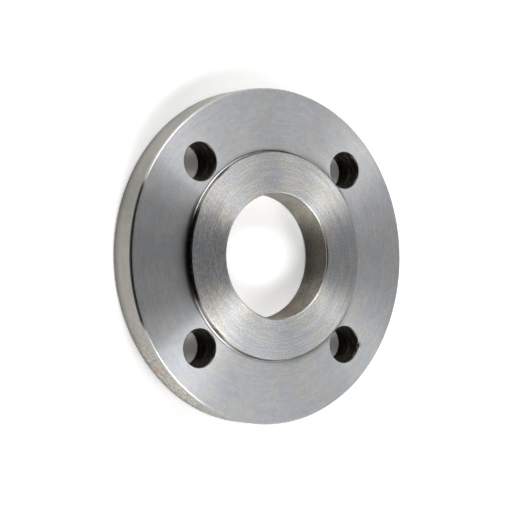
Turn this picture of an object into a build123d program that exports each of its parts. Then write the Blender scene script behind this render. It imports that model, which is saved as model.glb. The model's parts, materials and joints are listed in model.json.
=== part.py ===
"""Flat plate weld flange with a raised sealing face, for a 60.3 mm steel pipe.

One turned and drilled piece of steel. Millimetres, +Z up.
The origin is the centre of the pipe bore on the flat back face, and the sealing face looks up along +Z.
"""
import os

from build123d import *

# Plate
OUTER_DIAMETER = 165.0
PLATE_THICKNESS = 16.0
FRONT_RIM_CHAMFER = 1.0
BACK_RIM_CHAMFER = 1.0

# Raised sealing face
FACE_DIAMETER = 102.0
FACE_HEIGHT = 3.0
FACE_EDGE_CHAMFER = 0.3
FACE_ROOT_RADIUS = 0.8
ROOT_SHARE_OF_WALL = 0.9

# Gasket grooves turned side by side in the sealing face, between two plain lands along its edges
GROOVE_PITCH = 1.3
GROOVE_DEPTH = 0.1
SEALING_LAND = 1.5

# Bore: the pipe slips in and is welded all round on both sides
PIPE_DIAMETER = 60.3
PIPE_CLEARANCE = 0.6
FRONT_BORE_CHAMFER = 0.5
BACK_BORE_CHAMFER = 1.0

# Drilled bolt holes, set astride the centre lines
BOLT_CIRCLE_DIAMETER = 125.0
BOLT_HOLE_DIAMETER = 18.0
BOLT_HOLE_COUNT = 4
BOLT_HOLE_EDGE_BREAK = 0.4

# Reach of a cutting tool past the face that it comes out of
TOOL_OVERRUN = 2.0

outer_radius = OUTER_DIAMETER / 2
face_radius = FACE_DIAMETER / 2
bore_radius = PIPE_DIAMETER / 2 + PIPE_CLEARANCE
bolt_circle_radius = BOLT_CIRCLE_DIAMETER / 2
sealing_height = PLATE_THICKNESS + FACE_HEIGHT


def groove_places():
    """Middles of the gasket grooves on the sealing face's line, in a row centred between its plain lands."""
    inner = bore_radius + FRONT_BORE_CHAMFER + SEALING_LAND
    outer = face_radius - FACE_EDGE_CHAMFER - SEALING_LAND
    count = int((outer - inner) / GROOVE_PITCH)
    first = (inner + outer - (count - 1) * GROOVE_PITCH) / 2
    return [(first + step * GROOVE_PITCH, sealing_height) for step in range(count)]


def plate_section():
    """Half section in XZ, right of the axis: plate and raised face with sharp corners, and the V grooves."""
    with BuildSketch(Plane.XZ) as section:
        with Locations((bore_radius, 0)):
            Rectangle(outer_radius - bore_radius, PLATE_THICKNESS, align=(Align.MIN, Align.MIN))
        with Locations((bore_radius, PLATE_THICKNESS)):
            Rectangle(face_radius - bore_radius, FACE_HEIGHT, align=(Align.MIN, Align.MIN))
        half_pitch = GROOVE_PITCH / 2
        with Locations(*groove_places()):
            Polygon((-half_pitch, 0), (0, -GROOVE_DEPTH), (half_pitch, 0), align=None, mode=Mode.SUBTRACT)
    return section.sketch


def turned_edge(body, radius, height):
    """The round edge of a turned body at this radius and height."""
    rings = body.edges().filter_by(GeomType.CIRCLE)
    return rings.sort_by(lambda ring: abs(ring.radius - radius) + abs(ring.center().Z - height))[0]


def turned_body():
    """The turning: plate and raised face round the bore, with its corners broken and its step rounded."""
    body = revolve(plate_section(), Axis.Z)
    step_wall = FACE_HEIGHT - FACE_EDGE_CHAMFER
    root_radius = min(FACE_ROOT_RADIUS, ROOT_SHARE_OF_WALL * step_wall)
    body = chamfer(turned_edge(body, face_radius, sealing_height), FACE_EDGE_CHAMFER)
    body = fillet(turned_edge(body, face_radius, PLATE_THICKNESS), root_radius)
    body = chamfer(turned_edge(body, outer_radius, PLATE_THICKNESS), FRONT_RIM_CHAMFER)
    body = chamfer(turned_edge(body, outer_radius, 0), BACK_RIM_CHAMFER)
    body = chamfer(turned_edge(body, bore_radius, sealing_height), FRONT_BORE_CHAMFER)
    body = chamfer(turned_edge(body, bore_radius, 0), BACK_BORE_CHAMFER)
    return body


def bolt_hole():
    """Tool body of one bolt hole on the axis: the drill, opened a little at the plate's two faces."""
    drill_radius = BOLT_HOLE_DIAMETER / 2
    mouth_radius = drill_radius + BOLT_HOLE_EDGE_BREAK
    with BuildSketch(Plane.XZ) as section:
        with BuildLine():
            Polyline(
                (0, -TOOL_OVERRUN),
                (mouth_radius, -TOOL_OVERRUN),
                (mouth_radius, 0),
                (drill_radius, BOLT_HOLE_EDGE_BREAK),
                (drill_radius, PLATE_THICKNESS - BOLT_HOLE_EDGE_BREAK),
                (mouth_radius, PLATE_THICKNESS),
                (mouth_radius, sealing_height + TOOL_OVERRUN),
                (0, sealing_height + TOOL_OVERRUN),
                close=True,
            )
        make_face()
    return revolve(section.sketch, Axis.Z)


def bolt_holes():
    """All bolt holes on their circle, the first one half a step from the X axis."""
    half_step = 180 / BOLT_HOLE_COUNT
    return PolarLocations(bolt_circle_radius, BOLT_HOLE_COUNT, start_angle=half_step) * bolt_hole()


def flange():
    """The finished flange."""
    return turned_body() - bolt_holes()


os.makedirs("parts", exist_ok=True)
export_step(flange(), "parts/flange.step")
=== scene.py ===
"""Looks of a weld flange: one turned and drilled piece of bare steel, lying on its back on a pale floor.

Metres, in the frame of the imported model: +Z out of the sealing face, the origin at the bore on the back face.
"""
import json
import math

import bpy
from mathutils import Matrix, Vector


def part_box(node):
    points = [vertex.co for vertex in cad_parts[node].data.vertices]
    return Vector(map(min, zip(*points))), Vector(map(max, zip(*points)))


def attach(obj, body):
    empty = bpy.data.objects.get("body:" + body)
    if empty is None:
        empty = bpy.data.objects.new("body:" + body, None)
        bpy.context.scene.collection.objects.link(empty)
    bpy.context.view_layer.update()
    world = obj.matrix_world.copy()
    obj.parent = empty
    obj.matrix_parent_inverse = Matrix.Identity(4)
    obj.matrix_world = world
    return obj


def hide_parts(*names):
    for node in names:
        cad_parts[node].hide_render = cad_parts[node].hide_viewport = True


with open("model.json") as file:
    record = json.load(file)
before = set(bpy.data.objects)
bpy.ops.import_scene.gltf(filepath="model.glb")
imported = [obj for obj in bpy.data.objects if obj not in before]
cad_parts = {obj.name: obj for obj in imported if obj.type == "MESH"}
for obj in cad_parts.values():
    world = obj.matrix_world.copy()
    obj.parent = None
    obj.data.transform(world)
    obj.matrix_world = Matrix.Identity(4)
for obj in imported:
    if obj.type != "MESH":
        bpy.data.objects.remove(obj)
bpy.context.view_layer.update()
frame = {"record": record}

MM = 0.001
MOUNTS = {mount["name"]: mount for mount in frame["record"]["mounts"]}
FLANGE_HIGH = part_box("flange")[1]

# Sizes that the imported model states
RIM_RADIUS = FLANGE_HIGH[0]
TOP = FLANGE_HIGH[2]
BORE_RADIUS = MOUNTS["pipe_bore"]["dims"]["r_mm"] * MM
HOLE_RADIUS = MOUNTS["bolt_circle"]["dims"]["hole_r_mm"] * MM
HOLE_COUNT = MOUNTS["bolt_circle"]["dims"]["count"]
BOLT_CIRCLE_RADIUS = MOUNTS["bolt_circle"]["dims"]["pcd_mm"] * MM / 2
PLATE_TOP = MOUNTS["bolt_circle"]["pos_m"][2]

# Sizes of the turned details
FACE_RADIUS = 51 * MM
ROOT_RADIUS = 0.8 * MM
HOLE_EDGE = 0.5 * MM

# Worn corners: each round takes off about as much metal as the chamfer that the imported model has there
RIM_ROUND = 1.4 * MM
FACE_ROUND = 0.45 * MM
FRONT_BORE_ROUND = 0.75 * MM
BACK_BORE_ROUND = 1.5 * MM

# Gasket grooves
GROOVE_PITCH = 1.3 * MM
GROOVE_DEPTH = 0.06 * MM
GROOVE_COUNT = 12

# Steps round the turning and round a bolt hole, and along each curve of their sections
TURNED_STEPS = 288
HOLE_STEPS = 96
ROOT_STEPS = 10
ROUND_STEPS = 6
GROOVE_STEPS = 4

# Reach of the drill past the plate's two faces
OVERRUN = 3 * MM

# A burr left in one bolt hole's mouth and a nick in another's, where the picture shows them.
# Their turns are in degrees.
BURR_PLACE = Vector((49.5, 51.4, 15.75)) * MM
BURR_SIZE = Vector((0.8, 1.5, 0.4)) * MM
BURR_TURN = 53
NICK_PLACE = Vector((53.35, -44.9, 16.2)) * MM
NICK_SIZE = Vector((0.9, 1.8, 1.1)) * MM
NICK_TURN = -3
LUMP_LEVELS = 3

# Faces that aren't level, up to this far outside a bolt hole's wall, belong to its mouth
NICK_REACH = 3 * MM

# Faces that meet at less than this angle are shaded as one
SMOOTH_BELOW = math.radians(25)

# How level a face is, as the upward share of its normal.
# The rim's worn corner counts as plate face where it is mostly level.
LEVEL = 0.999
NEARLY_LEVEL = 0.97
MOSTLY_LEVEL = 0.9
UPRIGHT = 0.01


def hole_places():
    """Middles of the bolt holes on their circle, the first one half a step from the X axis."""
    step = 2 * math.pi / HOLE_COUNT
    angles = [(index + 0.5) * step for index in range(HOLE_COUNT)]
    return [BOLT_CIRCLE_RADIUS * Vector((math.cos(angle), math.sin(angle), 0)) for angle in angles]


def deselect():
    bpy.ops.object.select_all(action="DESELECT")


def pick(piece):
    """Selects only this object and makes it active."""
    deselect()
    piece.select_set(True)
    bpy.context.view_layer.objects.active = piece


def turn(name, section, steps, capped=False):
    """Draws a ring of edges along a section of (radius, height) points, and closes it or caps its ends."""
    (radius, height), *later = section
    deselect()
    fill = "NGON" if capped else "NOTHING"
    bpy.ops.mesh.primitive_circle_add(vertices=steps, radius=radius, fill_type=fill, location=(0, 0, height))
    piece = bpy.context.object
    piece.name = piece.data.name = name
    bpy.ops.object.transform_apply(location=True, rotation=False, scale=False)
    bpy.ops.object.mode_set(mode="EDIT")
    bpy.ops.mesh.select_mode(type="EDGE")
    bpy.ops.mesh.select_all(action="SELECT")
    for next_radius, next_height in later:
        bpy.ops.mesh.extrude_edges_move(TRANSFORM_OT_translate={"value": (0, 0, next_height - height)})
        ratio = next_radius / radius
        bpy.ops.transform.resize(value=(ratio, ratio, 1), center_override=(0, 0, next_height))
        radius, height = next_radius, next_height
    if capped:
        bpy.ops.mesh.edge_face_add()
    else:
        bpy.ops.mesh.select_non_manifold()
        bpy.ops.mesh.bridge_edge_loops()
    bpy.ops.mesh.select_all(action="SELECT")
    bpy.ops.mesh.normals_make_consistent(inside=False)
    bpy.ops.object.mode_set(mode="OBJECT")
    return piece


def root_round():
    """Points of the step's root round, from the plate's face up into the step's wall."""
    points = []
    for index in range(ROOT_STEPS + 1):
        angle = math.pi / 2 * index / ROOT_STEPS
        radius = FACE_RADIUS + ROOT_RADIUS * (1 - math.sin(angle))
        points.append((radius, PLATE_TOP + ROOT_RADIUS * (1 - math.cos(angle))))
    return points


def outer_crest():
    """Radius of the outermost crest of the gasket grooves, which lie midway between the face's corners."""
    middle = (BORE_RADIUS + FRONT_BORE_ROUND + FACE_RADIUS - FACE_ROUND) / 2
    return middle + GROOVE_COUNT * GROOVE_PITCH / 2


def gasket_grooves():
    """Points of the gasket grooves, from the outermost inwards: each has a round bottom and sharp crests."""
    points = [(outer_crest(), TOP)]
    for groove in range(GROOVE_COUNT):
        for step in range(1, GROOVE_STEPS + 1):
            share = step / GROOVE_STEPS
            depth = GROOVE_DEPTH * (1 - (2 * share - 1) ** 2)
            points.append((outer_crest() - (groove + share) * GROOVE_PITCH, TOP - depth))
    return points


def worn_round(radius, height, size, out, up):
    """Points of a worn outer corner, from its side wall to its level face; out and up say where it points."""
    points = []
    for index in range(ROUND_STEPS + 1):
        angle = math.pi / 2 * index / ROUND_STEPS
        across = radius - out * size * (1 - math.cos(angle))
        points.append((across, height - up * size * (1 - math.sin(angle))))
    return points


def flange_section():
    """Half section of the flange, from the back of the bore round the rim to the front of the bore."""
    return [
        *worn_round(BORE_RADIUS, 0, BACK_BORE_ROUND, out=-1, up=-1),
        *reversed(worn_round(RIM_RADIUS, 0, RIM_ROUND, out=1, up=-1)),
        *worn_round(RIM_RADIUS, PLATE_TOP, RIM_ROUND, out=1, up=1),
        *root_round(),
        *worn_round(FACE_RADIUS, TOP, FACE_ROUND, out=1, up=1),
        *gasket_grooves(),
        *reversed(worn_round(BORE_RADIUS, TOP, FRONT_BORE_ROUND, out=-1, up=1)),
    ]


def drill_section():
    """Outline of a bolt hole's drill, opened a little at the plate's two faces."""
    mouth = HOLE_RADIUS + HOLE_EDGE
    return [
        (mouth, -OVERRUN),
        (mouth, 0),
        (HOLE_RADIUS, HOLE_EDGE),
        (HOLE_RADIUS, PLATE_TOP - HOLE_EDGE),
        (mouth, PLATE_TOP),
        (mouth, PLATE_TOP + OVERRUN),
    ]


def copied(piece, place):
    """A copy of the piece with a mesh of its own, moved to a place."""
    copy = piece.copy()
    copy.data = piece.data.copy()
    copy.data.transform(Matrix.Translation(place))
    bpy.context.collection.objects.link(copy)
    return copy


def lump(name, place, size, turn_degrees):
    """A small rounded lump of this size, turned about the vertical and put in its place."""
    deselect()
    bpy.ops.mesh.primitive_ico_sphere_add(subdivisions=LUMP_LEVELS, radius=1)
    piece = bpy.context.object
    piece.name = piece.data.name = name
    turned = Matrix.Rotation(math.radians(turn_degrees), 4, "Z")
    piece.data.transform(Matrix.Translation(place) @ turned @ Matrix.Diagonal((*size, 1)))
    return piece


def cut(piece, tool, operation="DIFFERENCE"):
    """Takes the tool's volume out of the piece, or adds it with UNION, and deletes the tool."""
    pick(piece)
    modifier = piece.modifiers.new("cut", "BOOLEAN")
    modifier.operation = operation
    modifier.solver = "EXACT"
    modifier.object = tool
    bpy.ops.object.modifier_apply(modifier=modifier.name)
    bpy.data.objects.remove(tool)


def shade(piece):
    """Smooth shading that keeps chamfers crisp and flat faces flat."""
    pick(piece)
    bpy.ops.object.shade_smooth_by_angle(angle=SMOOTH_BELOW, keep_sharp_edges=False)
    modifier = piece.modifiers.new("normals", "WEIGHTED_NORMAL")
    modifier.keep_sharp = True
    bpy.ops.object.modifier_apply(modifier=modifier.name)


def flange_piece():
    """The turned body with its bolt holes drilled, and the burr and nick at their mouths."""
    body = turn("turned_flange", flange_section(), TURNED_STEPS)
    drill = turn("drill", drill_section(), HOLE_STEPS, capped=True)
    for place in hole_places():
        cut(body, copied(drill, place))
    bpy.data.objects.remove(drill)
    cut(body, lump("burr", BURR_PLACE, BURR_SIZE, BURR_TURN), "UNION")
    cut(body, lump("nick", NICK_PLACE, NICK_SIZE, NICK_TURN))
    return body


def zone(face):
    """Name of the finish that a face of the flange takes, by its place and the way it faces."""
    x, y, height = face.center
    radius = math.hypot(x, y)
    up = face.normal.z
    to_hole = min((Vector((x, y, 0)) - place).length for place in hole_places())
    if to_hole < HOLE_RADIUS + HOLE_EDGE and abs(up) < LEVEL:
        return "hole_wall" if abs(up) < UPRIGHT else "hole_edge"
    if to_hole < HOLE_RADIUS + NICK_REACH and radius > FACE_RADIUS + ROOT_RADIUS and abs(up) < LEVEL:
        return "hole_edge"
    if up < -LEVEL:
        return "back_face"
    if radius < FACE_RADIUS and height > PLATE_TOP + ROOT_RADIUS and up > NEARLY_LEVEL:
        return "sealing_face"
    level_enough = MOSTLY_LEVEL if radius > BOLT_CIRCLE_RADIUS else LEVEL
    if up > level_enough:
        return "plate_face"
    if radius < BORE_RADIUS + BACK_BORE_ROUND:
        return "bore_wall" if abs(up) < UPRIGHT else "broken_edge"
    if radius < FACE_RADIUS + ROOT_RADIUS:
        return "step"
    return "rim" if up < UPRIGHT else "broken_edge"


class Nodes:
    """Builds a tree of shader nodes, node by node."""

    def __init__(self, tree):
        self.tree = tree
        self.tree.nodes.clear()

    def node(self, kind, inputs=None, **settings):
        """Adds a node; an input is given by name or number, and is a value or another node's output."""
        node = self.tree.nodes.new(kind)
        for key, value in settings.items():
            setattr(node, key, value)
        for key, value in (inputs or {}).items():
            if isinstance(value, bpy.types.NodeSocket):
                self.tree.links.new(value, node.inputs[key])
            else:
                node.inputs[key].default_value = value
        return node

    def math(self, operation, *values):
        """Result of a sum on numbers."""
        return self.node("ShaderNodeMath", dict(enumerate(values)), operation=operation).outputs[0]

    def vector(self, operation, *values):
        """Result of a sum on vectors."""
        node = self.node("ShaderNodeVectorMath", dict(enumerate(values)), operation=operation)
        return node.outputs["Value" if operation in ("LENGTH", "DISTANCE") else "Vector"]

    def scaled(self, vector, factor):
        """The vector or colour, times a factor."""
        return self.node("ShaderNodeVectorMath", {0: vector, "Scale": factor}, operation="SCALE").outputs[0]

    def part(self, vector, axis):
        """One coordinate of a vector."""
        return self.node("ShaderNodeSeparateXYZ", {0: vector}).outputs[axis]

    def joined(self, **parts):
        """The vector with these coordinates, and nought for the others."""
        return self.node("ShaderNodeCombineXYZ", parts).outputs[0]

    def flat(self, vector):
        """The vector without its height."""
        return self.vector("MULTIPLY", vector, (1, 1, 0))

    def noise(self, place, scale=1.0, detail=2.0, roughness=0.5):
        """Cloudy values about one half, with this many clouds to a unit of length."""
        inputs = {"Vector": place, "Scale": scale, "Detail": detail, "Roughness": roughness}
        return self.node("ShaderNodeTexNoise", inputs).outputs[0]

    def rise(self, value, low, high, start=0.0, end=1.0):
        """Smooth change from start to end as the value goes from low to high."""
        inputs = {"Value": value, "From Min": low, "From Max": high, "To Min": start, "To Max": end}
        return self.node("ShaderNodeMapRange", inputs, interpolation_type="SMOOTHSTEP").outputs[0]

    def fade(self, mask, start, end):
        """Smooth change from start to end as a mask goes from nought to one."""
        return self.rise(mask, 0.0, 1.0, start, end)

    def tint(self, share, first, second):
        """Colour that goes from the first to the second with a share."""
        return self.node("ShaderNodeMix", {0: share, 6: first, 7: second}, data_type="RGBA").outputs[2]


# Sockets of the effects: their kinds, and the place that they have until a material gives them one
NUMBER = "NodeSocketFloat"
VECTOR = "NodeSocketVector"
NOWHERE = (0.0, 0.0, 0.0)

# Bands of turning marks are wider than the ridges: this many go to a ridge
BANDS_TO_A_RIDGE = 0.3

# Noise is cloudy about this value
NOISE_MIDDLE = 0.5

# The noise's value at the edge of clouds that cover next to nothing, and its change to full cover
CLOUD_EDGE = 0.7
CLOUD_EDGE_CHANGE = -0.4

# A spot's edge and its full core, as shares of its size
SPOT_EDGE = 1.0
SPOT_CORE = 0.3

# A pit's edge and its floor, as shares of its size
PIT_EDGE = 0.45
PIT_FLOOR = 0.15


class Effect(Nodes):
    """A node group that several materials use, with named inputs and outputs."""

    def __init__(self, name, inputs, outputs):
        super().__init__(bpy.data.node_groups.new(name, "ShaderNodeTree"))
        for label, value in inputs.items():
            kind = NUMBER if isinstance(value, float) else VECTOR
            socket = self.tree.interface.new_socket(label, in_out="INPUT", socket_type=kind)
            socket.default_value = value
        for label, kind in outputs.items():
            self.tree.interface.new_socket(label, in_out="OUTPUT", socket_type=kind)
        self.given = self.node("NodeGroupInput").outputs
        self.result = self.node("NodeGroupOutput").inputs

    def put_out(self, label, value):
        self.tree.links.new(value, self.result[label])

    def place_in_mm(self):
        """The given place in millimetres."""
        return self.scaled(self.given["Place"], 1 / MM)

    def place_in_sizes(self):
        """The given place, counted in the given size, which is in millimetres."""
        return self.scaled(self.given["Place"], self.math("DIVIDE", 1 / MM, self.given["Size"]))


def turned_place_effect():
    """Where a point lies on a turned piece: radius and height in millimetres, and direction from the axis."""
    outputs = {"Radius": NUMBER, "Height": NUMBER, "Around": VECTOR}
    effect = Effect("turned_place", {"Place": NOWHERE}, outputs)
    place = effect.place_in_mm()
    level = effect.flat(place)
    effect.put_out("Radius", effect.vector("LENGTH", level))
    effect.put_out("Height", effect.part(place, "Z"))
    effect.put_out("Around", effect.vector("NORMALIZE", level))
    return effect.tree


def hole_place_effect():
    """Where a point lies in its bolt hole: radius and height in millimetres, and direction from its axis.

    There is a hole in each quarter, so all the holes are folded onto the first one.
    """
    outputs = {"Height": NUMBER, "Around": VECTOR, "Radius": NUMBER}
    effect = Effect("hole_place", {"Place": NOWHERE}, outputs)
    place = effect.place_in_mm()
    folded = effect.vector("ABSOLUTE", place)
    offset = hole_places()[0] / MM
    level = effect.flat(effect.vector("SUBTRACT", folded, tuple(offset)))
    quarter = effect.vector("SIGN", effect.flat(place))
    effect.put_out("Height", effect.part(place, "Z"))
    effect.put_out("Around", effect.vector("MULTIPLY", effect.vector("NORMALIZE", level), quarter))
    effect.put_out("Radius", effect.vector("LENGTH", level))
    return effect.tree


def turning_marks_effect():
    """Marks of a turning tool: fine ridges side by side, and wider bands that catch the light differently."""
    inputs = {"Across": 0.0, "Around": NOWHERE, "Pitch": 1.0, "Breaks": 1.0}
    effect = Effect("turning_marks", inputs, {"Ridges": NUMBER, "Bands": NUMBER})
    arcs = effect.scaled(effect.given["Around"], effect.given["Breaks"])
    rows = effect.joined(Z=effect.math("DIVIDE", effect.given["Across"], effect.given["Pitch"]))
    wide_rows = effect.scaled(rows, BANDS_TO_A_RIDGE)
    effect.put_out("Ridges", effect.noise(effect.vector("ADD", arcs, rows), detail=3.0))
    effect.put_out("Bands", effect.noise(effect.vector("ADD", arcs, wide_rows), detail=4.0, roughness=0.6))
    return effect.tree


def clouds_effect():
    """Clouds of a given size in millimetres that cover a share of the surface, with soft or sharp edges."""
    inputs = {"Place": NOWHERE, "Size": 5.0, "Cover": 0.5, "Softness": 0.1, "Seed": 0.0}
    effect = Effect("clouds", inputs, {"Mask": NUMBER})
    place = effect.vector("ADD", effect.place_in_sizes(), effect.joined(X=effect.given["Seed"]))
    clouds = effect.noise(place, detail=4.0, roughness=0.55)
    edge = effect.math("MULTIPLY_ADD", effect.given["Cover"], CLOUD_EDGE_CHANGE, CLOUD_EDGE)
    low = effect.math("SUBTRACT", edge, effect.given["Softness"])
    high = effect.math("ADD", edge, effect.given["Softness"])
    effect.put_out("Mask", effect.rise(clouds, low, high))
    return effect.tree


def spot_effect():
    """One ragged spot of a given size in millimetres at a given place."""
    inputs = {"Place": NOWHERE, "Centre": NOWHERE, "Size": 1.0, "Ragged": 0.5}
    effect = Effect("spot", inputs, {"Mask": NUMBER})
    place = effect.place_in_mm()
    away = effect.vector("DISTANCE", place, effect.given["Centre"])
    share = effect.math("DIVIDE", away, effect.given["Size"])
    wobble = effect.math("SUBTRACT", effect.noise(place, scale=2.0, detail=3.0), NOISE_MIDDLE)
    reach = effect.math("MULTIPLY_ADD", wobble, effect.given["Ragged"], share)
    effect.put_out("Mask", effect.rise(reach, SPOT_EDGE, SPOT_CORE))
    return effect.tree


def worn_edge_effect():
    """Bare metal along a turned edge, in a line that comes and goes."""
    inputs = {"Place": NOWHERE, "Radius": 1.0, "Height": 0.0, "Width": 0.5}
    effect = Effect("worn_edge", inputs, {"Mask": NUMBER})
    place = effect.place_in_mm()
    out = effect.math("SUBTRACT", effect.vector("LENGTH", effect.flat(place)), effect.given["Radius"])
    up = effect.math("SUBTRACT", effect.part(place, "Z"), effect.given["Height"])
    away = effect.vector("LENGTH", effect.joined(X=out, Y=up))
    width = effect.math("MULTIPLY", effect.given["Width"], effect.noise(place, scale=0.5, detail=4.0))
    effect.put_out("Mask", effect.rise(away, effect.math("DIVIDE", width, NOISE_MIDDLE), 0.0))
    return effect.tree


def pits_effect():
    """Small pits, scattered over a share of the surface."""
    inputs = {"Place": NOWHERE, "Size": 1.0, "Cover": 0.3}
    effect = Effect("pits", inputs, {"Mask": NUMBER})
    place = effect.place_in_sizes()
    bent = effect.node("ShaderNodeTexNoise", {"Vector": place, "Scale": 1.5, "Detail": 2.0}).outputs["Color"]
    cells = effect.node("ShaderNodeTexVoronoi", {"Vector": effect.vector("ADD", place, bent), "Scale": 1.0})
    present = effect.math("LESS_THAN", effect.part(cells.outputs["Color"], "X"), effect.given["Cover"])
    shape = effect.rise(cells.outputs["Distance"], PIT_EDGE, PIT_FLOOR)
    effect.put_out("Mask", effect.math("MULTIPLY", shape, present))
    return effect.tree


TURNED_PLACE = turned_place_effect()
HOLE_PLACE = hole_place_effect()
TURNING_MARKS = turning_marks_effect()
CLOUDS = clouds_effect()
SPOT = spot_effect()
WORN_EDGE = worn_edge_effect()
PITS = pits_effect()

WHITE = (1, 1, 1, 1)

# Steel, from bright to black, with the colours of painted highlights and shade among it
BARE_CORNER = (0.68, 0.68, 0.66, 1)
WARM_STEEL = (0.65, 0.635, 0.612, 1)
CLEAN_STEEL = (0.630, 0.627, 0.624, 1)
COOL_STEEL = (0.59, 0.611, 0.64, 1)
STEP_STEEL = (0.60, 0.59, 0.56, 1)
CORNER_STEEL = (0.54, 0.54, 0.52, 1)
OLD_STEEL = (0.47, 0.455, 0.415, 1)
DULL_STEEL = (0.44, 0.43, 0.39, 1)
BORED_STEEL = (0.38, 0.36, 0.315, 1)
RING_HIGHLIGHT = (0.36, 0.32, 0.28, 1)
BROWN_STEEL = (0.20, 0.18, 0.14, 1)
HOLE_SHADE_BROWN = (0.09, 0.08, 0.065, 1)
SHADE_BLACK = (0.06, 0.055, 0.045, 1)

# Steel that a sum on vectors darkens, and a hole edge's painted shade, which take three numbers
ROOT_STEEL = (0.46, 0.46, 0.45)
HOLE_EDGE_SHADE = (0.095, 0.085, 0.075)

# What lies on the steel, with painted shade and dark reflections among it
BLUSH = (0.66, 0.50, 0.47, 1)
LIGHT_RUST = (0.42, 0.22, 0.12, 1)
BROWN_RUST = (0.34, 0.18, 0.13, 1)
RUST = (0.20, 0.075, 0.03, 1)
BROWN_OXIDE_AND_REFLECTION = (0.13, 0.115, 0.09, 1)
BORE_DARK_REFLECTION = (0.105, 0.098, 0.08, 1)
STEP_SHADE = (0.10, 0.095, 0.085, 1)
BLACK_OXIDE_AND_REFLECTION = (0.03, 0.027, 0.022, 1)

# Factors of a painted warm highlight along the diagonals of the sealing face
HIGHLIGHT_WARMTH = (1.045, 1.025, 0.99, 1)

# Height of the grain and of the pits, where the turning ridges have one
GRAIN_RELIEF = 0.5
PIT_RELIEF = -3.0

# On the flat faces the ridges show this many times more than the grain
RIDGE_CONTRAST = 3


class Steel(Nodes):
    """A steel finish whose highlights run across its turning marks."""

    def __init__(self, name):
        self.material = bpy.data.materials.new(name)
        self.material.use_nodes = True
        super().__init__(self.material.node_tree)
        self.place = self.node("ShaderNodeTexCoord").outputs["Object"]

    def use(self, effect, **inputs):
        """Outputs of an effect, placed with this material's own values."""
        return self.node("ShaderNodeGroup", inputs, node_tree=effect).outputs

    def marks(self, across, around, pitch, breaks):
        """Ridges and bands of turning marks across a radius or height in millimetres."""
        outputs = self.use(TURNING_MARKS, Across=across, Around=around, Pitch=pitch, Breaks=breaks)
        return outputs["Ridges"], outputs["Bands"]

    def mask(self, effect, **inputs):
        """Where an effect's marks are on this material's surface."""
        return self.use(effect, Place=self.place, **inputs)["Mask"]

    def clouds(self, size, cover, softness, seed):
        return self.mask(CLOUDS, Size=size, Cover=cover, Softness=softness, Seed=seed)

    def spot(self, centre, size, ragged):
        return self.mask(SPOT, Centre=centre, Size=size, Ragged=ragged)

    def worn_edge(self, radius, height, width):
        return self.mask(WORN_EDGE, Radius=radius / MM, Height=height / MM, Width=width)

    def pits(self, size, cover):
        return self.mask(PITS, Size=size, Cover=cover)

    def varied(self, value, share, middle=1.0):
        """A value about the middle that moves by a share as a noise about one half moves."""
        return self.math("MULTIPLY_ADD", value, 2 * share * middle, middle * (1 - share))

    def stained(self, colour, mask, stain, strength):
        """The colour with a stain of this strength over it, where the mask is."""
        return self.tint(self.math("MULTIPLY", mask, strength), colour, stain)

    def finish(self, colour, roughness, height, anisotropic, depth, around=None):
        """Ends the material: steel of this colour and roughness, with a relief of this depth in metres."""
        axis_to_point = around or self.place
        along = self.vector("CROSS_PRODUCT", (0, 0, 1), axis_to_point)
        normal = self.node("ShaderNodeNewGeometry").outputs["Normal"]
        relief = self.node("ShaderNodeBump", {"Height": height, "Distance": depth})
        shader = self.node("ShaderNodeBsdfPrincipled", {
            "Base Color": colour,
            "Metallic": 1.0,
            "Roughness": roughness,
            "Anisotropic": anisotropic,
            "Tangent": self.vector("CROSS_PRODUCT", normal, along),
            "Normal": relief.outputs[0],
        })
        output = self.node("ShaderNodeOutputMaterial")
        self.tree.links.new(shader.outputs[0], output.inputs["Surface"])
        return self.material


# The named values of the finishes, all lengths in millimetres:
# marks are a pitch and how often they break off round the axis;
# grain, stains, mottle, patches and the holes' patches of painted shade are clouds: size, cover, softness and
# seed;
# spots are a centre, a size and how ragged they are;
# changes are from and to where, and the values there if they aren't nought and one.
# A side is the share of the direction from the axis that points along X.
FACE_STAINS = (14.0, 0.5, 0.12, 3.0)
FACE_GRAIN = (1.0, 0.5, 0.2, 11.0)


def turned_face(steel, marks, warm, roughness, speckle):
    """Finish that the flat turned faces share: marks round the axis, faint stains and a speckled grain."""
    where = steel.use(TURNED_PLACE, Place=steel.place)
    ridges, bands = steel.marks(where["Radius"], where["Around"], *marks)
    grain = steel.clouds(*FACE_GRAIN)
    colour = steel.tint(steel.clouds(*FACE_STAINS), COOL_STEEL, warm)
    colour = steel.scaled(colour, steel.varied(bands, share=0.14))
    colour = steel.scaled(colour, steel.varied(ridges, share=RIDGE_CONTRAST * speckle))
    colour = steel.scaled(colour, steel.fade(grain, start=1 - speckle, end=1 + speckle))
    rough = steel.varied(bands, share=0.08, middle=roughness)
    height = steel.math("MULTIPLY_ADD", grain, GRAIN_RELIEF, ridges)
    return where, colour, rough, height


PLATE_MARKS = (0.5, 6.0)
PLATE_MOTTLE = (3.0, 0.5, 0.2, 43.0)

# Painted light and shade on the plate: darker outwards from its middle line, lighter at both ends, and lighter
# again at one end
PLATE_SHADE_OFF_MIDDLE = (0.1, 0.6, 1.07, 0.92)
PLATE_HIGHLIGHT_BOTH_ENDS = (0.85, 1.0, 1.0, 1.17)
PLATE_HIGHLIGHT_ONE_END = (0.75, 1.0, 1.0, 1.2)

# Painted shade: a darker fan on one side, and the sides between which it comes in and goes out
SHADE_FAN_COMES = (-1.0, -0.93)
SHADE_FAN_GOES = (-0.8, -0.88)

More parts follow.
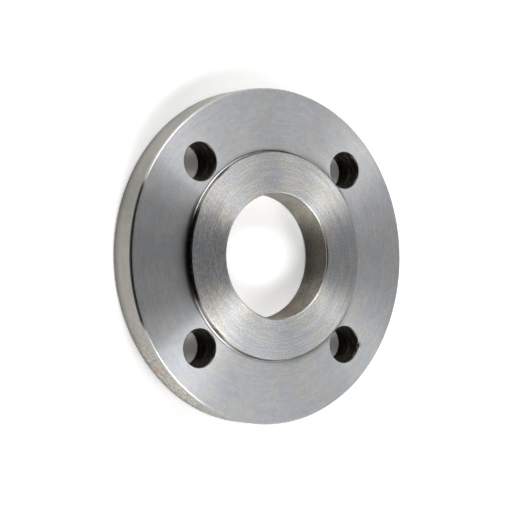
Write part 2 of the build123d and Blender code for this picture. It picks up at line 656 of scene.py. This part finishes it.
# Painted shade in the step's corner: the sides between which it widens, how far it reaches from the step and
# how softly it ends, and the thin line of it all round
CORNER_SHADE_WIDENS = (-0.75, -0.95)
CORNER_SHADE_NARROW = 0.7
CORNER_SHADE_WIDE = 2.6
CORNER_SHADE_SOFTNESS = 2.4
SHADE_LINE_EDGE = 0.7
SHADE_LINE_CORE = 0.2
SHADE_LINE_SHARE = 0.6

BLUSH_SPOT = ((41.2, 59.5, PLATE_TOP / MM), 3.5, 1.0)
NICK_RUST_SPOT = ((54.0, -44.8, PLATE_TOP / MM), 2.2, 1.5)


def plate_face():
    """Outer face of the plate: finely turned, with painted light by side and painted shade in its step's
    corner.
    """
    steel = Steel("turned_plate_face")
    where, colour, rough, height = turned_face(steel, PLATE_MARKS, CLEAN_STEEL, roughness=0.58, speckle=0.04)
    side = steel.part(where["Around"], "X")
    off_middle = steel.math("ABSOLUTE", side)
    # Painted light and shade on the plate, by side
    colour = steel.scaled(colour, steel.rise(off_middle, *PLATE_SHADE_OFF_MIDDLE))
    colour = steel.scaled(colour, steel.rise(off_middle, *PLATE_HIGHLIGHT_BOTH_ENDS))
    colour = steel.scaled(colour, steel.rise(side, *PLATE_HIGHLIGHT_ONE_END))
    # Painted shade in a fan on one side of the plate
    shade_fan = steel.math("MULTIPLY", steel.rise(side, *SHADE_FAN_COMES), steel.rise(side, *SHADE_FAN_GOES))
    colour = steel.scaled(colour, steel.fade(shade_fan, start=1.0, end=0.84))
    colour = steel.scaled(colour, steel.fade(steel.clouds(*PLATE_MOTTLE), start=0.97, end=1.03))
    colour = steel.stained(colour, steel.spot(*BLUSH_SPOT), BLUSH, strength=0.2)
    # Painted shade in the step's corner, wide on one side, and a thin painted line of it all round
    corner = (FACE_RADIUS + ROOT_RADIUS) / MM
    reach = steel.rise(side, *CORNER_SHADE_WIDENS, corner + CORNER_SHADE_NARROW, corner + CORNER_SHADE_WIDE)
    from_reach = steel.math("SUBTRACT", where["Radius"], reach)
    painted_corner_shade = steel.rise(from_reach, 0.0, -CORNER_SHADE_SOFTNESS)
    line = steel.rise(where["Radius"], corner + SHADE_LINE_EDGE, corner + SHADE_LINE_CORE)
    painted_corner_shade = steel.math("MAXIMUM", painted_corner_shade, steel.math("MULTIPLY", line, SHADE_LINE_SHARE))
    colour = steel.stained(colour, painted_corner_shade, SHADE_BLACK, strength=0.9)
    colour = steel.stained(colour, steel.spot(*NICK_RUST_SPOT), RUST, strength=0.5)
    return steel.finish(colour, rough, height, anisotropic=0.88, depth=0.005 * MM)


SEALING_MARKS = (0.9, 3.0)
SEALING_PATCHES = (2.4, 0.5, 0.15, 37.0)

# Painted light on the sealing face, lighter away from both ends, and where the painted warm highlight on its
# diagonals begins and is full
SEALING_PAINTED_LIGHT = (0.75, 1.0, 1.04, 0.99)
SEALING_HIGHLIGHT_DIAGONALS = (0.28, 0.48)

# Dirt and painted shade in the grooves: how deep in a groove it lies, in pitches from a crest, and how much
# there is by side
GROOVE_DIRT_AND_SHADE_DEPTH = (0.1, 0.4)
GROOVE_SHADE_SIDE = (-0.6, -0.97, 0.08, 0.48)
HALF_A_PITCH = 0.5


def sealing_face():
    """Raised sealing face: coarser turning, with painted shade in its rings where the light is low, and painted
    light.
    """
    steel = Steel("turned_sealing_face")
    where, colour, rough, height = turned_face(steel, SEALING_MARKS, WARM_STEEL, roughness=0.5, speckle=0.11)
    from_crest = steel.math("SUBTRACT", where["Radius"], outer_crest() / MM)
    pitches = steel.math("DIVIDE", from_crest, GROOVE_PITCH / MM)
    valley = steel.math("PINGPONG", pitches, HALF_A_PITCH)
    side = steel.part(where["Around"], "X")
    forward = steel.part(where["Around"], "Y")
    # Painted light and a painted warm highlight on the sealing face's diagonals
    colour = steel.scaled(colour, steel.rise(steel.math("ABSOLUTE", side), *SEALING_PAINTED_LIGHT))
    diagonal = steel.math("ABSOLUTE", steel.math("MULTIPLY", side, forward))
    highlight_warmth = steel.tint(steel.rise(diagonal, *SEALING_HIGHLIGHT_DIAGONALS), WHITE, HIGHLIGHT_WARMTH)
    colour = steel.vector("MULTIPLY", colour, highlight_warmth)
    # Dirt in the grooves, with painted shade on the side where the light is low
    groove_dirt_and_shade = steel.math("MULTIPLY", steel.rise(valley, *GROOVE_DIRT_AND_SHADE_DEPTH), steel.rise(side, *GROOVE_SHADE_SIDE))
    patchy = steel.fade(steel.clouds(*SEALING_PATCHES), start=0.2, end=1.0)
    colour = steel.tint(steel.math("MULTIPLY", groove_dirt_and_shade, patchy), colour, BROWN_STEEL)
    return steel.finish(colour, rough, height, anisotropic=0.9, depth=0.02 * MM)


BACK_MARKS = (0.6, 4.0)


def back_face():
    """Back face of the plate: turned like the front, and duller."""
    steel = Steel("turned_back_face")
    _, colour, rough, height = turned_face(steel, BACK_MARKS, CLEAN_STEEL, roughness=0.55, speckle=0.05)
    return steel.finish(colour, rough, height, anisotropic=0.85, depth=0.008 * MM)


RIM_MARKS = (0.9, 4.0)
RIM_GRAIN = (1.0, 0.5, 0.2, 5.0)
RIM_STAINS = (9.0, 0.45, 0.15, 7.0)
RIM_MOTTLE = (1.2, 0.5, 0.1, 31.0)

# Pits in the rough patch: their size and how much of it they cover
RIM_PITS = (2.0, 0.5)

# Painted shade on the rim by height, as it darkens to its foot
RIM_FOOT_SHADE = (0.0, 6.0, 0.6, 1.06)

RIM_SHADE_SPOT = ((-64.0, 52.0, 8.0), 62.0, 1.0)
ROUGH_PATCH_SPOT = ((-42.0, -71.0, 8.0), 75.0, 0.8)
RIM_RUST_SPOT = ((-62.3, -54.1, 7.0), 4.5, 1.0)


def rim():
    """Rim of the plate: duller, warmer steel with turning marks, a rough patch on one side, and painted shade.
    """
    steel = Steel("dull_rim")
    where = steel.use(TURNED_PLACE, Place=steel.place)
    ridges, bands = steel.marks(where["Height"], where["Around"], *RIM_MARKS)
    grain = steel.clouds(*RIM_GRAIN)
    colour = steel.tint(steel.clouds(*RIM_STAINS), OLD_STEEL, DULL_STEEL)
    colour = steel.scaled(colour, steel.varied(bands, share=0.12))
    colour = steel.scaled(colour, steel.fade(grain, start=0.95, end=1.04))
    # Painted shade at the rim's foot
    colour = steel.scaled(colour, steel.rise(where["Height"], *RIM_FOOT_SHADE))
    # Painted shade over one broad stretch of the rim
    colour = steel.scaled(colour, steel.fade(steel.spot(*RIM_SHADE_SPOT), start=1.0, end=0.7))
    patch = steel.spot(*ROUGH_PATCH_SPOT)
    mottle = steel.math("MULTIPLY", steel.clouds(*RIM_MOTTLE), patch)
    colour = steel.scaled(colour, steel.fade(mottle, start=1.12, end=0.66))
    pits = steel.math("MULTIPLY", steel.pits(*RIM_PITS), patch)
    colour = steel.stained(colour, pits, BROWN_STEEL, strength=0.7)
    colour = steel.stained(colour, steel.spot(*RIM_RUST_SPOT), LIGHT_RUST, strength=0.35)
    rough = steel.varied(bands, share=0.12, middle=0.5)
    height = steel.math("MULTIPLY_ADD", grain, GRAIN_RELIEF, ridges)
    height = steel.math("MULTIPLY_ADD", pits, PIT_RELIEF, height)
    return steel.finish(colour, rough, height, anisotropic=0.8, depth=0.02 * MM)


BORE_MARKS = (1.1, 3.0)
BORE_MOTTLE = (7.0, 0.5, 0.15, 17.0)
BORE_GRAIN = (1.2, 0.5, 0.2, 19.0)

# Painted shade on the bore by height, as it darkens to its foot
BORE_FOOT_SHADE = (0.0, 14.0, 0.8, 1.12)

BORE_DARK_REFLECTION_SPOT = ((BORE_RADIUS / MM, 0.0, 9.5), 26.0, 0.8)
BORE_SHADE_SPOT = ((15.0, -27.0, 9.5), 22.0, 0.8)
BORE_RUST_SPOT = ((14.0, -27.4, 9.0), 10.0, 1.0)


def bore_wall():
    """Wall of the pipe bore: brown-grey, with a painted dark reflection darkest on one side, and painted shade.
    """
    steel = Steel("bored_wall")
    where = steel.use(TURNED_PLACE, Place=steel.place)
    ridges, bands = steel.marks(where["Height"], where["Around"], *BORE_MARKS)
    colour = steel.stained(BORED_STEEL, steel.clouds(*BORE_MOTTLE), BROWN_STEEL, strength=0.5)
    # Painted dark reflection on the side of the bore that faces the camera
    colour = steel.tint(steel.spot(*BORE_DARK_REFLECTION_SPOT), colour, BORE_DARK_REFLECTION)
    # Painted shade over one stretch of the bore wall, and painted light on the rest
    colour = steel.scaled(colour, steel.fade(steel.spot(*BORE_SHADE_SPOT), start=1.12, end=0.72))
    colour = steel.stained(colour, steel.spot(*BORE_RUST_SPOT), BROWN_RUST, strength=0.35)
    # Painted shade at the bore's foot
    colour = steel.scaled(colour, steel.rise(where["Height"], *BORE_FOOT_SHADE))
    colour = steel.scaled(colour, steel.varied(bands, share=0.35))
    colour = steel.scaled(colour, steel.fade(steel.clouds(*BORE_GRAIN), start=0.85, end=1.12))
    rough = steel.varied(bands, share=0.15, middle=0.4)
    return steel.finish(colour, rough, ridges, anisotropic=0.85, depth=0.008 * MM)


HOLE_MARKS = (1.5, 1.6)
HOLE_SHADE_PATCHES = (4.0, 0.5, 0.12, 23.0)

# Heights of the drill's ridges between which their crests get a painted highlight
RING_CRESTS = (0.5, 0.66)


def hole_wall():
    """Wall of a drilled bolt hole: black with painted shade, and ringed by the drill."""
    steel = Steel("drilled_wall")
    where = steel.use(HOLE_PLACE, Place=steel.place)
    ridges, bands = steel.marks(where["Height"], where["Around"], *HOLE_MARKS)
    # Painted shade: the deep hole's wall black, in patches
    colour = steel.tint(steel.clouds(*HOLE_SHADE_PATCHES), SHADE_BLACK, HOLE_SHADE_BROWN)
    colour = steel.scaled(colour, steel.varied(bands, share=0.5))
    # Painted highlight on the crests of the drill rings
    colour = steel.stained(colour, steel.rise(ridges, *RING_CRESTS), RING_HIGHLIGHT, strength=0.8)
    rough = steel.varied(bands, share=0.15, middle=0.42)
    return steel.finish(colour, rough, ridges, anisotropic=0.4, depth=0.12 * MM, around=where["Around"])


HOLE_EDGE_MARKS = (0.3, 3.0)


def hole_edge():
    """Broken edge of a bolt hole: dark with painted shade, like its wall."""
    steel = Steel("broken_hole_edge")
    where = steel.use(HOLE_PLACE, Place=steel.place)
    ridges, bands = steel.marks(where["Radius"], where["Around"], *HOLE_EDGE_MARKS)
    # Painted shade on a bolt hole's edge
    colour = steel.scaled(HOLE_EDGE_SHADE, steel.varied(bands, share=0.4))
    rough = steel.varied(bands, share=0.15, middle=0.45)
    return steel.finish(colour, rough, ridges, anisotropic=0.6, depth=0.01 * MM, around=where["Around"])


STEP_MARKS = (0.5, 4.0)
STEP_MOTTLE = (1.6, 0.5, 0.1, 29.0)

# Heights between which the step's root gives way to its wall
WALL_FOOT = (PLATE_TOP / MM + 0.3, PLATE_TOP / MM + 0.7)

# Sides between which the wall gets bare and the root leaves its painted dark reflection, and then both get
# painted shade
WALL_GETS_BARE = (-0.94, -0.86)
ROOT_LEAVES_DARK_REFLECTION = (-0.97, -0.9, 0.1, 1.0)
STEP_GETS_SHADED = (-0.6, -0.3)

# Roughness of the step, where it is black or in its root, and where its wall is bare
BLACK_ROUGHNESS = 0.28
BARE_ROUGHNESS = 0.55

DARK_STRETCH_SPOTS = [((-32.9, 39.0, 17.5), 7.5, 1.2), ((-35.2, -36.9, 17.5), 7.5, 1.2)]
STEP_RUST_SPOT = ((-47.6, -17.6, PLATE_TOP / MM + 1.0), 4.0, 2.0)


def step():
    """Step of the raised face: black on one side with oxide and painted dark reflection, bare beside it, then
    painted shade.
    """
    steel = Steel("turned_step")
    where = steel.use(TURNED_PLACE, Place=steel.place)
    ridges, bands = steel.marks(where["Height"], where["Around"], *STEP_MARKS)
    side = steel.part(where["Around"], "X")
    up_wall = steel.rise(where["Height"], *WALL_FOOT)
    # Oxide, and painted dark reflection, on one side of the step's wall
    oxide_and_reflection = steel.tint(steel.clouds(*STEP_MOTTLE), BLACK_OXIDE_AND_REFLECTION, BROWN_OXIDE_AND_REFLECTION)
    bare = steel.rise(side, *WALL_GETS_BARE)
    for stretch in DARK_STRETCH_SPOTS:
        bare = steel.math("SUBTRACT", bare, steel.spot(*stretch))
    bare = steel.math("MAXIMUM", bare, 0.0)
    wall = steel.tint(bare, oxide_and_reflection, STEP_STEEL)
    # Painted dark reflection in the root on one side
    root = steel.scaled(ROOT_STEEL, steel.rise(side, *ROOT_LEAVES_DARK_REFLECTION))
    colour = steel.tint(up_wall, root, wall)
    colour = steel.stained(colour, steel.spot(*STEP_RUST_SPOT), RUST, strength=0.6)
    # Painted shade over most of the step
    colour = steel.stained(colour, steel.rise(side, *STEP_GETS_SHADED), STEP_SHADE, strength=0.65)
    worn = steel.worn_edge(FACE_RADIUS, TOP, width=0.35)
    colour = steel.stained(colour, worn, OLD_STEEL, strength=0.7)
    dull = steel.fade(steel.math("MULTIPLY", bare, up_wall), BLACK_ROUGHNESS, BARE_ROUGHNESS)
    rough = steel.math("MULTIPLY", dull, steel.varied(bands, share=0.2))
    return steel.finish(colour, rough, ridges, anisotropic=0.3, depth=0.006 * MM)


CORNER_MARKS = (0.3, 5.0)

# Radii between which the bore's corners give way to the rim's
BORE_TO_RIM = (40.0, 45.0)

# The rim's corners: the sides between which their painted dark reflection ends, and their roughness by side
CORNER_LEAVES_DARK_REFLECTION = (-0.93, -0.895, 0.14, 1.0)
RIM_CORNER_ROUGHNESS = (-0.2, 0.3, 0.34, 0.55)
BORE_CORNER_ROUGHNESS = 0.32


def broken_edge():
    """Worn corners of the rim and the bore: bright, with a painted dark reflection on one side of the rim's."""
    steel = Steel("broken_edge")
    where = steel.use(TURNED_PLACE, Place=steel.place)
    ridges, bands = steel.marks(where["Radius"], where["Around"], *CORNER_MARKS)
    worn = steel.worn_edge(RIM_RADIUS, PLATE_TOP, width=0.9)
    colour = steel.tint(worn, CORNER_STEEL, BARE_CORNER)
    colour = steel.scaled(colour, steel.varied(bands, share=0.15))
    side = steel.part(where["Around"], "X")
    # Painted dark reflection on one side of the rim's corners
    corner_dark_reflection = steel.rise(side, *CORNER_LEAVES_DARK_REFLECTION)
    colour = steel.scaled(colour, steel.rise(where["Radius"], *BORE_TO_RIM, 1.0, corner_dark_reflection))
    rim_dull = steel.rise(side, *RIM_CORNER_ROUGHNESS)
    dull = steel.rise(where["Radius"], *BORE_TO_RIM, BORE_CORNER_ROUGHNESS, rim_dull)
    rough = steel.math("MULTIPLY", dull, steel.varied(bands, share=0.2))
    return steel.finish(colour, rough, ridges, anisotropic=0.3, depth=0.006 * MM)


FINISHES = {
    "plate_face": plate_face(),
    "sealing_face": sealing_face(),
    "back_face": back_face(),
    "rim": rim(),
    "bore_wall": bore_wall(),
    "hole_wall": hole_wall(),
    "hole_edge": hole_edge(),
    "step": step(),
    "broken_edge": broken_edge(),
}


def dress(piece):
    """Gives each face of the flange the finish of its zone."""
    order = list(FINISHES)
    for name in order:
        piece.data.materials.append(FINISHES[name])
    for face in piece.data.polygons:
        face.material_index = order.index(zone(face))


# Camera, as the picture was taken: its upright runs along the flange's +Y
CAMERA_AIM = Vector((-7.27, 0.49, 9.5)) * MM
CAMERA_DISTANCE = 733.3 * MM
CAMERA_AZIMUTH = 182.0
CAMERA_ELEVATION = 53.78
CAMERA_ROLL = 88.555
CAMERA_LENS = 105.42
CAMERA_NEAREST = 0.01

# Softboxes round the flange: name, azimuth and elevation in degrees, and power in watts
SOFTBOX_SIZE = 0.5
SOFTBOX_DISTANCE = 1.2
SOFTBOXES = [
    ("left_key", 100, 40, 3.2),
    ("left_back", 115, 40, 4.2),
    ("left_fill", 70, 40, 2.6),
    ("right_key", 260, 40, 6.6),
    ("right_back", 245, 40, 2.7),
    ("front_fill", 0, 30, 1.5),
    ("front_high", 320, 50, 3.0),
]

# Floor: its paint, and the distances between which its shading gives way to the white of the backdrop.
# A little of that white is mixed in close by too.
FLOOR_DROP = 0.2 * MM
FLOOR_SIZE = 8.0
FLOOR_PAINT = (0.8, 0.8, 0.8, 1)
FLOOR_REFLECTED = (1.0, 1.0, 1.0, 1)
FLOOR_SEEN = (1.36, 1.36, 1.36, 1)
SHADE_ENDS = (95 * MM, 180 * MM)
LEAST_WHITE = 0.1

# World: white, with a backdrop behind the flange that its steel reflects, and a dark room elsewhere
BACKDROP_TOP = (0.12, 0.30)
BACKDROP_SIDE = (-0.1, 0.4)


def toward(azimuth, elevation):
    """Unit vector to an azimuth and elevation in degrees."""
    around, lift = math.radians(azimuth), math.radians(elevation)
    out = math.cos(lift)
    return Vector((out * math.cos(around), out * math.sin(around), math.sin(lift)))


def looking(place, target, roll=0):
    """Matrix of a lamp or camera at a place that looks at a target, rolled about its line of sight."""
    turned = (target - place).to_track_quat("-Z", "Y").to_matrix().to_4x4()
    return Matrix.Translation(place) @ turned @ Matrix.Rotation(math.radians(roll), 4, "Z")


def add_camera():
    camera = bpy.data.objects.new("camera", bpy.data.cameras.new("camera"))
    camera.data.lens = CAMERA_LENS
    camera.data.clip_start = CAMERA_NEAREST
    place = CAMERA_AIM + CAMERA_DISTANCE * toward(CAMERA_AZIMUTH, CAMERA_ELEVATION)
    camera.matrix_world = looking(place, CAMERA_AIM, CAMERA_ROLL)
    bpy.context.collection.objects.link(camera)
    bpy.context.scene.camera = camera


def softbox(name, azimuth, elevation, power):
    """Square area lamp that looks at the flange and isn't seen itself."""
    lamp = bpy.data.lights.new(name, "AREA")
    lamp.shape = "SQUARE"
    lamp.size = SOFTBOX_SIZE
    lamp.energy = power
    piece = bpy.data.objects.new(name, lamp)
    piece.matrix_world = looking(SOFTBOX_DISTANCE * toward(azimuth, elevation), Vector((0, 0, 0)))
    piece.visible_camera = False
    bpy.context.collection.objects.link(piece)


def floor_paint():
    """Pale paint that takes the flange's shadow close by and is white further out."""
    material = bpy.data.materials.new("pale_floor")
    material.use_nodes = True
    nodes = Nodes(material.node_tree)
    path = nodes.node("ShaderNodeLightPath").outputs
    paint = nodes.tint(path["Is Glossy Ray"], FLOOR_PAINT, FLOOR_REFLECTED)
    paint = nodes.tint(path["Is Camera Ray"], paint, FLOOR_SEEN)
    shader = nodes.node("ShaderNodeBsdfDiffuse", {"Color": paint})
    white = nodes.node("ShaderNodeEmission", {"Color": WHITE, "Strength": 1.0})
    place = nodes.node("ShaderNodeTexCoord").outputs["Object"]
    far = nodes.rise(nodes.vector("LENGTH", place), *SHADE_ENDS, LEAST_WHITE, 1.0)
    share = nodes.math("MULTIPLY", far, path["Is Camera Ray"])
    mix = nodes.node("ShaderNodeMixShader", {0: share, 1: shader.outputs[0], 2: white.outputs[0]})
    output = nodes.node("ShaderNodeOutputMaterial")
    nodes.tree.links.new(mix.outputs[0], output.inputs["Surface"])
    return material


def add_floor():
    deselect()
    bpy.ops.mesh.primitive_plane_add(size=FLOOR_SIZE, location=(0, 0, -FLOOR_DROP))
    floor = bpy.context.object
    floor.name = "floor"
    bpy.ops.object.transform_apply(location=True, rotation=False, scale=False)
    floor.data.materials.append(floor_paint())


def add_world():
    """A world that is white to the camera and behind the flange, and gives no light of its own."""
    world = bpy.data.worlds.new("studio")
    bpy.context.scene.world = world
    world.use_nodes = True
    nodes = Nodes(world.node_tree)
    path = nodes.node("ShaderNodeLightPath").outputs
    direction = nodes.node("ShaderNodeTexCoord").outputs["Generated"]
    low, high = BACKDROP_TOP
    below_top = nodes.rise(nodes.part(direction, "Z"), high, low)
    behind = nodes.rise(nodes.part(direction, "X"), *BACKDROP_SIDE)
    backdrop = nodes.math("MULTIPLY", below_top, behind)
    reflected = nodes.math("MULTIPLY", path["Is Glossy Ray"], backdrop)
    strength = nodes.math("MAXIMUM", path["Is Camera Ray"], reflected)
    background = nodes.node("ShaderNodeBackground", {"Color": WHITE, "Strength": strength})
    output = nodes.node("ShaderNodeOutputWorld")
    nodes.tree.links.new(background.outputs[0], output.inputs["Surface"])


flange = flange_piece()
dress(flange)
shade(flange)
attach(flange, "root")
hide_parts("flange")

add_camera()
add_floor()
add_world()
for lamp in SOFTBOXES:
    softbox(*lamp)
bpy.context.scene.view_settings.view_transform = "Standard"
